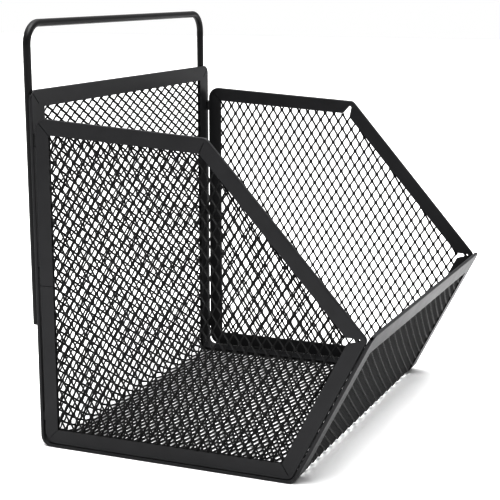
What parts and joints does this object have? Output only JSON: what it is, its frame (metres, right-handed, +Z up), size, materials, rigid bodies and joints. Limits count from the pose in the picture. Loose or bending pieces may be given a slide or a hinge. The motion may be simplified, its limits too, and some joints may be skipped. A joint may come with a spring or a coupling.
{
  "type": "hanging file rack",
  "caption": "Black expanded-metal file basket with channel rims, a slanted front and a bent-wire hanging bar behind its back; stands flat or hangs.",
  "frame": {"origin": "on the floor, at the middle of the bounding box in X and Y", "axes": "+Z up, -Y towards the open slanted front, +X to the right as seen from the front"},
  "size_m": [0.27, 0.2397, 0.2853],
  "materials": {
    "mesh": "black powder coat on expanded metal, satin",
    "rim": "black powder coat, fine orange peel, satin",
    "wire": "black powder coat, smoother and a little glossier",
    "weld": "black powder coat over rough weld beads"
  },
  "bodies": {
    "root": {"wrap_mesh": "mesh", "wrap_rim": "rim", "left_side_mesh": "mesh", "left_side_rim": "rim", "right_side_mesh": "mesh", "right_side_rim": "rim", "hanger_wire": "wire", "left_side_welds": "weld", "right_side_welds": "weld", "hanger_welds": "weld"}
  },
  "joints": []
}
